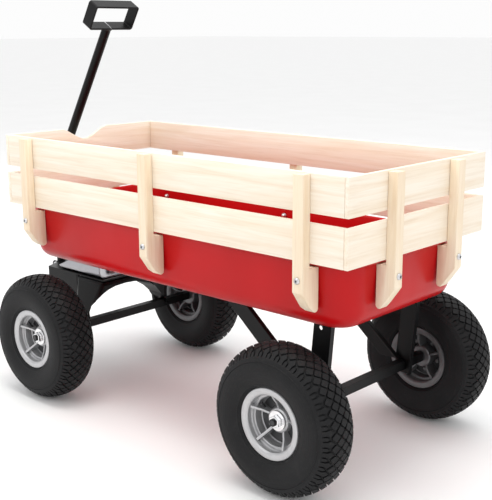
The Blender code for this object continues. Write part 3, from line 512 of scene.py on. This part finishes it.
def rubber_look():
    """Charcoal tyre rubber: scattered dusty spots, faint mould rings on the walls."""
    look = Look("rubber", (0.011, 0.011, 0.012), 0.6, Specular_IOR_Level=0.22)
    cloud = look.noise(look.mapped(), scale=26, detail=5, rough=0.65)
    spots = look.noise(look.mapped(), scale=240, detail=3, rough=0.6)
    base = look.ramp(cloud, ((0.30, (0.004, 0.004, 0.0046)), (0.62, (0.008, 0.008, 0.009)),
                             (0.85, (0.018, 0.0175, 0.017))))
    dust = look.ramp(spots, ((0.55, 0.0), (0.80, 0.35)))
    look.colour(look.mix(dust, base, (0.030, 0.029, 0.027)))
    look.roughness(cloud, 0.46, 0.68)
    rings = look.node(
        "ShaderNodeTexWave", Scale=70.0, Distortion=0.0, wave_type="RINGS", rings_direction="Z"
    )
    look.link(look.coords, rings.inputs["Vector"])
    grain = look.noise(look.mapped(), scale=900, detail=3, rough=0.6)
    look.bump((rings.outputs["Fac"], 0.0003, 0.25), (grain, 0.0003, 0.6))
    return look.made


def metal_look(name, colour, low, high, metallic, scale=90, bump=0.25):
    """Painted or plated metal with uneven gloss and a fine texture."""
    look = Look(name, colour, (low + high) / 2, metallic)
    cloud = look.noise(look.mapped(), scale, detail=4, rough=0.6)
    darker = tuple(c * 0.90 for c in colour)
    look.colour(look.ramp(cloud, ((0.32, darker), (0.68, colour))))
    look.roughness(cloud, low, high)
    grain = look.noise(look.mapped(), scale * 9, detail=2, rough=0.6)
    look.bump((grain, 0.00015, bump),)
    return look.made


WOOD_LONG = wood_look("wood_long", 0)
WOOD_CROSS = wood_look("wood_cross", 1)
BATTEN = wood_look("wood_upright", 2, (0.955, 0.89, 0.80))
PAINT = paint_look()
BLACK = black_look()
RUBBER = rubber_look()
SILVER = metal_look("silver_paint", (0.50, 0.50, 0.51), 0.28, 0.42, 0.65)
# Painted shade: the web disc is the rim's silver paint, drawn dark grey for the shadow deep in the
# wheel's centre
SHADOWED = metal_look("web_painted_shade", (0.050, 0.050, 0.053), 0.40, 0.55, 0.3)
# Painted shade: the rim's silver paint drawn darker on the side toward the wagon
RIM_INNER_SHADE = metal_look("rim_inner_painted_shade", (0.15, 0.15, 0.155), 0.36, 0.5, 0.6)
ZINC = metal_look("zinc", (0.66, 0.66, 0.68), 0.22, 0.38, 1.0, 120)
BRACKET = metal_look("bracket_zinc", (0.36, 0.36, 0.38), 0.24, 0.36, 1.0, 40)
CHROME = metal_look("chrome", (0.78, 0.78, 0.79), 0.08, 0.18, 1.0, 60, 0.08)
# Black nylon for the valve stems, spindle tips and bushings; also the painted shade in the screws'
# crossed recesses
NYLON_AND_RECESS_SHADE = metal_look("nylon", (0.030, 0.030, 0.032), 0.42, 0.55, 0.0)


# ---------------------------------------------------------------- bed

def rounded_ring(half_x, half_y, radius, steps):
    points = []
    for sx, sy, start in ((1, 1, 0), (-1, 1, 90), (-1, -1, 180), (1, -1, 270)):
        centre = (sx * (half_x - radius), sy * (half_y - radius))
        for i in range(steps + 1):
            a = math.radians(start + 90 * i / steps)
            points.append((centre[0] + radius * math.cos(a), centre[1] + radius * math.sin(a)))
    return points


def bed_profile(floor, rim):
    """The tray's outer surface as (distance outside the base outline, height) pairs."""
    profile = []
    for i in range(FILLET_STEPS + 1):
        a = math.radians(90 * i / FILLET_STEPS)
        profile.append((BED_FILLET * (math.sin(a) - 1), floor + BED_FILLET * (1 - math.cos(a))))
    wall, straight = floor + BED_FILLET, rim - ROLL_RADIUS
    for i in range(1, WALL_STEPS + 1):
        share = i / WALL_STEPS
        profile.append((BED_LEAN * share, wall + (straight - wall) * share))
    for i in range(1, ROLL_STEPS + 1):
        out = ROLL_RADIUS * (1 - math.cos(i * ROLL_STEP))
        profile.append((BED_LEAN + out, straight + ROLL_RADIUS * math.sin(i * ROLL_STEP)))
    return profile


def build_bed():
    low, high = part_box("bed_tray")
    bm = bmesh.new()
    rings = []
    for out, z in bed_profile(low.z, high.z - RIM_CLEARANCE):
        ring = rounded_ring(
            BED_HALF_LENGTH + out, BED_HALF_WIDTH + out, BED_CORNER + out, CORNER_STEPS
        )
        rings.append([bm.verts.new((BED_MIDDLE + x, y, z)) for x, y in ring])
    join_rings(bm, rings)
    bm.faces.new(rings[0][::-1])
    mesh = finish_mesh(bm, "bed", ROUNDED_SMOOTH_ANGLE)
    bed = add("bed_tray_skin", mesh, PAINT, "chassis", stands_for=("bed_tray",))
    sheet = bed.modifiers.new("sheet", "SOLIDIFY")
    sheet.thickness = BED_SHEET
    sheet.offset = -1


# ---------------------------------------------------------------- wood

def board(node, look):
    """A slat: the CAD board with its arrises eased."""
    middle, size = middle_and_size(node)
    bm = bmesh.new()
    cuboid(bm, size, middle)
    bevelled(bm, SLAT_EASE)
    name = f"{node}_board"
    mesh = finish_mesh(bm, name, BOARD_SMOOTH_ANGLE)
    add(name, mesh, look, "chassis", stands_for=(node,))


def notched_board():
    """The front upper slat, with a shallow notch in its top edge where the handle rests."""
    low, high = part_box("slat_front_upper")
    outline = [(low.y, low.z), (high.y, low.z), (high.y, high.z)]
    for i in range(NOTCH_STEPS + 1):
        share = 1 - 2 * i / NOTCH_STEPS
        sink = NOTCH_DEPTH * 0.5 * (1 + math.cos(math.pi * share))
        outline.append((NOTCH_HALF_WIDTH * share, high.z - sink))
    outline.append((low.y, high.z))
    mesh = prism("notched", outline, 0, high.x - low.x, NOTCH_EASE, NOTCH_SMOOTH_ANGLE)
    mesh.transform(matrix((low.x, 0, 0), axes((0, 1, 0), UP, (1, 0, 0))))
    add("slat_front_upper_board", mesh, WOOD_CROSS, "chassis",
        stands_for=("slat_front_upper",))


def build_slats():
    for level in ("upper", "lower"):
        for side, _ in SIDES:
            board(f"slat_{side}_{level}", WOOD_LONG)
        for end in ENDS:
            if (end, level) != ("front", "upper"):
                board(f"slat_{end}_{level}", WOOD_CROSS)
    notched_board()


def stake_nodes():
    names = [f"stake_{side}_{spot}" for side, _ in SIDES for spot in STAKE_SPOTS]
    return names + [f"stake_{end}_{side}" for end in ENDS for side, _ in SIDES]


def stake_outward(node):
    """The direction in which a stake or its bolt faces: out from the nearest side of the bed."""
    middle, size = middle_and_size(node)
    if size.x > size.y:
        return Vector((math.copysign(1, middle.x - BED_MIDDLE), 0, 0))
    return Vector((0, math.copysign(1, middle.y), 0))


def build_stake(node):
    middle, size = middle_and_size(node)
    outward = stake_outward(node)
    reach = abs(size.dot(outward))
    width = abs(size.dot(Vector((outward.y, outward.x, 0))))
    top = middle.z + size.z / 2
    outline = [(-STAKE_THICKNESS, top), (-STAKE_THICKNESS, STAKE_STEP), (-reach, STAKE_STEP)]
    outline += [(x - reach, z) for x, z in STAKE_TOE]
    outline += [*STAKE_HEEL, (0, top)]
    mesh = prism(node, outline, -width / 2, width / 2, STAKE_EASE, BOARD_SMOOTH_ANGLE)
    origin = middle + outward * (reach / 2)
    origin.z = 0
    mesh.transform(matrix(origin, axes(outward, UP, outward.cross(UP))))
    add(f"{node}_wood", mesh, BATTEN, "chassis", stands_for=(node,))


def screw_mesh(reach):
    """A pan-head machine screw with a domed nut inside and a crossed recess outside, drawn as a thin
    dark cross of painted shade.
    """
    bm = bmesh.new()
    seat = NUT_HEIGHT - reach
    lathe_into(bm, SCREW_HEAD + [(SHANK_RADIUS, seat)], HEAD_SIDES)
    lathe_into(bm, [(radius, seat + height) for radius, height in SCREW_NUT], DOME_SIDES)
    for turn in (0, math.pi / 2):
        recess_shade = cuboid(bm, RECESS_SIZE, (0, 0, RECESS_HEIGHT))
        spin = Matrix.Rotation(turn + RECESS_TURN, 4, "Z")
        bmesh.ops.transform(bm, matrix=spin, verts=recess_shade)
        # The cross takes the dark second material: painted shade in the recess
        for face in {face for vertex in recess_shade for face in vertex.link_faces}:
            face.material_index = 1
    mesh = finish_mesh(bm, "stake_screw")
    mesh.materials.append(ZINC)
    mesh.materials.append(NYLON_AND_RECESS_SHADE)
    return mesh


def build_stakes():
    meshes = {}
    for node in stake_nodes():
        build_stake(node)
        bolt = node.replace("stake_", "stake_bolt_")
        middle, size = middle_and_size(bolt)
        outward = stake_outward(bolt)
        reach = abs(size.dot(outward))
        key = round(reach, 4)
        if key not in meshes:
            meshes[key] = screw_mesh(reach - HEAD_HEIGHT)
        seat = middle + outward * (reach / 2 - HEAD_HEIGHT)
        place = matrix(seat, along(outward, UP))
        add(f"{bolt}_screw", meshes[key], ZINC, "chassis", place, (bolt,))


# ---------------------------------------------------------------- tyres

def tyre_section(angle):
    """(radius, height) on the inflated section, from the crown (0) to the widest point (90)."""
    a = math.radians(min(max(abs(angle), 1e-4), 90))
    radius = BEAD_RADIUS + CROWN_HEIGHT * math.cos(a) ** (2 / SECTION_POWER)
    return radius, math.copysign(TYRE_HALF_WIDTH * math.sin(a) ** (2 / SECTION_POWER), angle)


def section_tables():
    """Angles round the section, and the length of surface from the crown line to each."""
    angles = np.linspace(0, SECTION_END, SECTION_SAMPLES)
    points = np.array([tyre_section(a) for a in angles])
    steps = np.hypot(*np.diff(points, axis=0).T)
    return angles, np.concatenate([[0], np.cumsum(steps)])


ANGLES, LENGTHS = section_tables()


def tread_point(turn, across, depth):
    """A point on the tread: turn about the axle, distance from the crown line, depth below."""
    angle = math.copysign(float(np.interp(abs(across), LENGTHS, ANGLES)), across)
    radius, height = tyre_section(angle)
    after = tyre_section(angle + SLOPE_STEP)
    before = tyre_section(angle - SLOPE_STEP)
    normal = Vector((-(after[1] - before[1]), after[0] - before[0])).normalized()
    if normal.x < 0:
        normal = -normal
    if abs(angle) < CROWN_ANGLE:
        normal = Vector((1, 0))
    radius -= depth * normal.x
    height -= depth * normal.y
    return Vector((radius * math.cos(turn), radius * math.sin(turn), height))


def tread_block(bm, outline):
    """A rubber block: an outline in (turn, across) raised from the groove floor."""
    centre = [sum(axis) / len(outline) for axis in zip(*outline)]
    rings = []
    for depth, inset in ((TREAD_DEPTH + BLOCK_ROOT, 0.0), (BLOCK_EDGE, 0.0), (0.0, BLOCK_EASE)):
        ring = []
        for point in outline:
            out = [value - middle for value, middle in zip(point, centre)]
            reach = math.hypot(out[0] * TREAD_RADIUS, out[1])
            scale = 1 - inset / max(reach, 1e-6)
            turn, across = (middle + value * scale for middle, value in zip(centre, out))
            ring.append(bm.verts.new(tread_point(turn, across, depth)))
        rings.append(ring)
    join_rings(bm, rings)
    bm.faces.new(rings[-1])


def carcass(bm):
    """The tyre's body: its section, sunk to the groove floor under the tread, and its walls."""
    half = [(tyre_section(0)[0] - TREAD_DEPTH, 0.0)]
    for i in range(1, CARCASS_STEPS + 1):
        angle = 90 * i / CARCASS_STEPS
        sink = TREAD_DEPTH * min(1.0, max(0.0, (GROOVE_END - angle) / GROOVE_FADE))
        point = tread_point(0, float(np.interp(angle, ANGLES, LENGTHS)), sink)
        half.append((point.x, point.z) if angle < WALL_START else tyre_section(angle))
    half += TYRE_WALL
    lower = [(radius, -height) for radius, height in half[1:]]
    lathe_into(bm, lower[::-1] + half, CARCASS_SIDES, closed=True)


def diamonds(bm):
    """Rows of diamond blocks with blunt corners, each row shifted half a pitch."""
    half, blunt, full = TREAD_PITCH / 2, DIAMOND_BLUNT, DIAMOND_FILL - DIAMOND_BLUNT
    for row in DIAMOND_ROWS:
        across = row * ROW_STEP
        for i in range(TREAD_PITCHES):
            turn = (i + 0.5 * (row % 2)) * TREAD_PITCH
            outline = []
            for st, sa in ((1, 1), (-1, 1), (-1, -1), (1, -1)):
                wide = (turn + st * half * full, across + sa * ROW_STEP * blunt)
                tall = (turn + st * half * blunt, across + sa * ROW_STEP * full)
                outline += [wide, tall] if st * sa > 0 else [tall, wide]
            tread_block(bm, outline)


def lugs(bm):
    """Long and short blocks by turns on each shoulder."""
    half = TREAD_PITCH / 2
    for side in (-1, 1):
        for i in range(TREAD_PITCHES):
            for shift, lug in ((0.5, LONG_LUG), (0.0, SHORT_LUG)):
                turn = (i + shift) * TREAD_PITCH
                outline = [(turn + half * u, side * v) for u, v in lug]
                outline += [(turn - half * u, side * v) for u, v in reversed(lug) if u]
                tread_block(bm, outline if side > 0 else outline[::-1])


def mould_rings(bm):
    for side in (-1, 1):
        ring = []
        for radius, lift in MOULD_RING:
            share = (radius - BEAD_RADIUS) / CROWN_HEIGHT
            height = TYRE_HALF_WIDTH * (1 - share ** SECTION_POWER) ** (1 / SECTION_POWER)
            ring.append((radius, side * (height + lift)))
        lathe_into(bm, ring, CARCASS_SIDES)


def tyre_mesh():
    bm = bmesh.new()
    carcass(bm)
    diamonds(bm)
    lugs(bm)
    mould_rings(bm)
    return finish_mesh(bm, "tyre", TYRE_SMOOTH_ANGLE)


# ---------------------------------------------------------------- rims and axle ends

def rib(bm, side, tip, spin):
    """One thin rib from the hub boss out to the drum, deepest at the drum."""
    outline = [(RIB_ROOT, RIB_FOOT), (RIB_END, RIB_FOOT), *RIB_DRUM,
               (RIB_DIP[0], tip + RIB_DIP[1]), (RIB_ROOT, tip - RIB_DROP)]
    rings = []
    for across, ease in ((-1, 0.0), (-RIB_FLAT, RIB_EASE), (RIB_FLAT, RIB_EASE), (1, 0.0)):
        ring = []
        for k, (radius, height) in enumerate(outline):
            lift = ease if k >= RIB_FOOT_POINTS else 0.0
            point = Vector((radius, across * RIB_HALF, side * (height + lift)))
            ring.append(bm.verts.new(spin @ point))
        rings.append(ring)
    join_rings(bm, rings)
    bm.faces.new(rings[0][::-1])
    bm.faces.new(rings[-1])


def rim_mesh():
    """Drum, flanges, hub bosses and ribs; the side toward the wagon is drawn darker grey: painted
    shade.
    """
    bm = bmesh.new()
    lower = [(radius, -height) for radius, height in RIM_PROFILE]
    lathe_into(bm, RIM_PROFILE + lower[::-1], RIM_SIDES, closed=True)
    for side, tip in ((1, HUB_FACE), (-1, HUB_BACK)):
        boss = [(radius, side * (tip - depth)) for radius, depth in HUB_BOSS]
        lathe_into(bm, boss + [(HUB_FOOT[0], side * HUB_FOOT[1])], HUB_SIDES)
        for i in range(RIB_COUNT):
            spin = Matrix.Rotation(math.tau * (i + RIB_START) / RIB_COUNT, 4, "Z")
            rib(bm, side, tip, spin)
            if side < 0:
                half_way = Matrix.Rotation(math.tau / RIB_COUNT / 2, 4, "Z")
                spot = spin @ half_way @ Vector(STUD_PLACE)
                lathe_into(bm, STUD, STUD_SIDES, place=Matrix.Translation(spot))
    mesh = finish_mesh(bm, "rim", RIM_SMOOTH_ANGLE)
    mesh.materials.append(SILVER)
    mesh.materials.append(RIM_INNER_SHADE)
    for face in mesh.polygons:
        # Faces on the wagon side take the darker grey of painted shade
        face.material_index = int(face.center.z < SHADED_SIDE_BELOW)
    return mesh


def web_mesh():
    lower = [WEB_INNER] + [(radius, -height) for radius, height in WEB_HALF[-2::-1]]
    return lathe("web", WEB_HALF + lower, WEB_SIDES)


def hex_nut(name, bore, across, height, chamfer):
    """A hexagon nut, its corners chamfered, standing on local Z = 0."""
    bm = bmesh.new()
    flat = across / 2
    corner, face = flat / math.cos(math.pi / NUT_SIDES), flat * NUT_FACE_SHARE
    profile = [(bore, 0.0), (face, 0.0), (corner, chamfer), (corner, height - chamfer),
               (face, height), (bore, height)]
    lathe_into(bm, profile, NUT_SIDES, closed=True)
    return finish_mesh(bm, name, NUT_SMOOTH_ANGLE)


def build_wheels():
    tyre, rim, web = tyre_mesh(), rim_mesh(), web_mesh()
    stem = lathe("valve_stem", VALVE_STEM, STEM_SIDES)
    washer = lathe("washer", WASHER, WASHER_SIDES, closed=True)
    nut = hex_nut("nut", **AXLE_NUT)
    tip = lathe("spindle_tip", SPINDLE_TIP, TIP_SIDES)
    lean = matrix(VALVE_FOOT, along(VALVE_TIP - VALVE_FOOT, (0, 1, 0)))
    for name, sign in [(f"{end}_{side}", sign) for end in ENDS for side, sign in SIDES]:
        centre, _ = middle_and_size(f"tyre_{name}")
        place = matrix(centre, along((0, sign, 0), UP))
        body = f"wheel_{name}"
        add(f"tyre_{name}_tread", tyre, RUBBER, body, place, (f"tyre_{name}",))
        add(f"rim_{name}_cast", rim, SILVER, body, place, (f"rim_{name}",))
        # The web disc takes the dark grey of painted shade
        add(f"rim_{name}_web", web, SHADOWED, body, place)
        add(f"valve_stem_{name}", stem, NYLON_AND_RECESS_SHADE, body, place @ lean)
        holder = body_of(f"axle_nut_{name}")
        seat = place @ Matrix.Translation((0, 0, HUB_FACE + WASHER_LIFT))
        above = seat @ Matrix.Translation((0, 0, NUT_LIFT))
        add(f"axle_washer_{name}", washer, CHROME, holder, seat)
        add(f"axle_nut_{name}_hex", nut, CHROME, holder, above, (f"axle_nut_{name}",))
        add(f"spindle_tip_{name}", tip, NYLON_AND_RECESS_SHADE, holder, above)
        bushing = NODES[f"bushing_{name}"].data.materials
        bushing.clear()
        bushing.append(NYLON_AND_RECESS_SHADE)


# ---------------------------------------------------------------- handle

def bent_route(foot, bend, top):
    """Points from foot to top, with an arc where the tube bends from upright to leaning."""
    first, second = (bend - foot).normalized(), (top - bend).normalized()
    turn = first.angle(second)
    start = bend - first * BEND_RADIUS * math.tan(turn / 2)
    route = [foot, foot.lerp(start, 0.5)]
    for i in range(BEND_STEPS + 1):
        a = math.pi - turn * i / BEND_STEPS
        across, rise = BEND_RADIUS * (1 + math.cos(a)), BEND_RADIUS * math.sin(a)
        route.append(Vector((start.x + across, 0, start.z + rise)))
    return route + [route[-1].lerp(top, 0.5), top]


def build_handle():
    pivot = JOINTS["handle_fold"]["pos_m"][0]
    foot = Vector((pivot, 0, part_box("handle_tube")[0].z))
    bend = Vector((pivot, 0, HANDLE_BEND_HEIGHT))
    top = Vector((pivot + HANDLE_LEAN, 0, HANDLE_TOP))
    bm = bmesh.new()
    tube_along(bm, bent_route(foot, bend, top), TUBE_RADIUS, TUBE_SIDES)
    mesh = finish_mesh(bm, "handle_tube", TUBE_SMOOTH_ANGLE)
    add("handle_tube_bent", mesh, BLACK, "handle", stands_for=("handle_tube",))
    direction = (top - bend).normalized()
    place = matrix(top, along(direction, (0, 1, 0)))
    weld = lathe("weld", GRIP_WELD, TUBE_SIDES)
    add("handle_weld", weld, BLACK, "handle", place)
    build_grip(top, direction)


def build_grip(top, up):
    """A flat strap bent into a rectangle, its edges eased, with the seam where its ends meet."""
    half = GRIP_DEPTH / 2
    outer = rounded_ring(GRIP_WIDTH / 2, GRIP_HEIGHT / 2, GRIP_OUTER_CORNER, GRIP_CORNER_STEPS)
    inner = rounded_ring(
        GRIP_WIDTH / 2 - GRIP_STRAP, GRIP_HEIGHT / 2 - GRIP_STRAP, GRIP_INNER_CORNER,
        GRIP_CORNER_STEPS,
    )
    # The strap's section: (share of the way from outside to inside, distance from its middle)
    section = [(0.0, half - GRIP_EASE), (GRIP_FLAT, half), (1 - GRIP_FLAT, half),
               (1.0, half - GRIP_EASE)]
    section = [(0.0, GRIP_EASE - half)] + section + [(s, -z) for s, z in section[:0:-1]]
    bm = bmesh.new()
    rings = []
    for share, z in section:
        ring = []
        for (ox, oy), (ix, iy) in zip(outer, inner):
            ring.append(bm.verts.new((ox + (ix - ox) * share, oy + (iy - oy) * share, z)))
        rings.append(ring)
    join_rings(bm, rings + rings[:1])
    mesh = finish_mesh(bm, "grip", TUBE_SMOOTH_ANGLE)
    across = Vector((0, 1, 0))
    centre = top + up * (GRIP_HEIGHT / 2 + GRIP_GAP)
    place = matrix(centre, axes(across, up, across.cross(up)))
    add("handle_grip_strap", mesh, BLACK, "handle", place, ("handle_grip",))
    bm = bmesh.new()
    cuboid(bm, SEAM_SIZE, (0, GRIP_STRAP - GRIP_HEIGHT / 2, 0))
    add("handle_grip_seam", finish_mesh(bm, "seam"), ZINC, "handle", place)


# ---------------------------------------------------------------- steering and stand

def build_metalwork():
    for node, width in EDGES.items():
        refined(node, BLACK, width)
    refined("kingpin_cradle", BRACKET, CRADLE_EDGE)
    for node in ("kingpin", "handle_pin"):
        refined(node, ZINC, PIN_EDGE)


def build_drawbar_welds():
    """The weld that joins each side of the drawbar to the front edge of the bolster."""
    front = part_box("front_bolster")[0]
    for side, sign in SIDES:
        bm = bmesh.new()
        tube_along(bm, [(0, 0, z) for z in WELD_HEIGHTS], WELD_RADIUS, WELD_SIDES)
        bmesh.ops.scale(bm, vec=(1, WELD_FLATTEN, 1), verts=bm.verts)
        place = matrix((front.x + WELD_SETBACK, sign * WELD_HALF_SPACING, 0))
        mesh = finish_mesh(bm, "drawbar_weld", ROUNDED_SMOOTH_ANGLE)
        add(f"drawbar_weld_{side}", mesh, BLACK, "steering", place)


# ---------------------------------------------------------------- stage

def area_light(name, location, target, size, power, colour):
    data = bpy.data.lights.new(name, "AREA")
    data.shape = "RECTANGLE"
    data.size, data.size_y = size
    data.energy = power
    data.color = colour
    obj = bpy.data.objects.new(name, data)
    bpy.context.scene.collection.objects.link(obj)
    obj.location = location
    direction = Vector(target) - Vector(location)
    obj.rotation_euler = direction.to_track_quat("-Z", "Y").to_euler()


def build_stage():
    bm = bmesh.new()
    bmesh.ops.create_grid(bm, x_segments=FLOOR_CELLS, y_segments=FLOOR_CELLS, size=FLOOR_SIZE)
    floor = bpy.data.objects.new("floor", finish_mesh(bm, "floor"))
    bpy.context.scene.collection.objects.link(floor)
    look = Look("floor_paint", (0.93, 0.93, 0.93), 0.8)
    cloud = look.noise(look.mapped(), scale=3, detail=2, rough=0.5)
    look.colour(look.ramp(cloud, ((0.3, 0.92), (0.7, 0.94))))
    floor.data.materials.append(look.made)
    for light in LIGHTS:
        area_light(*light)
    world = bpy.data.worlds.new("studio")
    world.use_nodes = True
    background = world.node_tree.nodes["Background"]
    background.inputs["Color"].default_value = (*WHITE, 1)
    background.inputs["Strength"].default_value = WORLD_STRENGTH
    bpy.context.scene.world = world
    bpy.context.scene.view_settings.view_transform = "Standard"


def build_camera():
    data = bpy.data.cameras.new("camera")
    data.lens = CAMERA_LENS
    data.sensor_width = CAMERA_SENSOR
    camera = bpy.data.objects.new("camera", data)
    bpy.context.scene.collection.objects.link(camera)
    level = math.cos(CAMERA_PITCH)
    drop = -math.sin(CAMERA_PITCH)
    forward = Vector((math.cos(CAMERA_YAW) * level, math.sin(CAMERA_YAW) * level, drop))
    right = forward.cross(UP).normalized()
    up = right.cross(forward)
    roll = Matrix.Rotation(CAMERA_ROLL, 3, -forward)
    camera.matrix_world = matrix(CAMERA_PLACE, axes(roll @ right, roll @ up, -forward))
    bpy.context.scene.camera = camera


build_bed()
build_slats()
build_stakes()
build_wheels()
build_handle()
build_metalwork()
build_drawbar_welds()
build_stage()
build_camera()
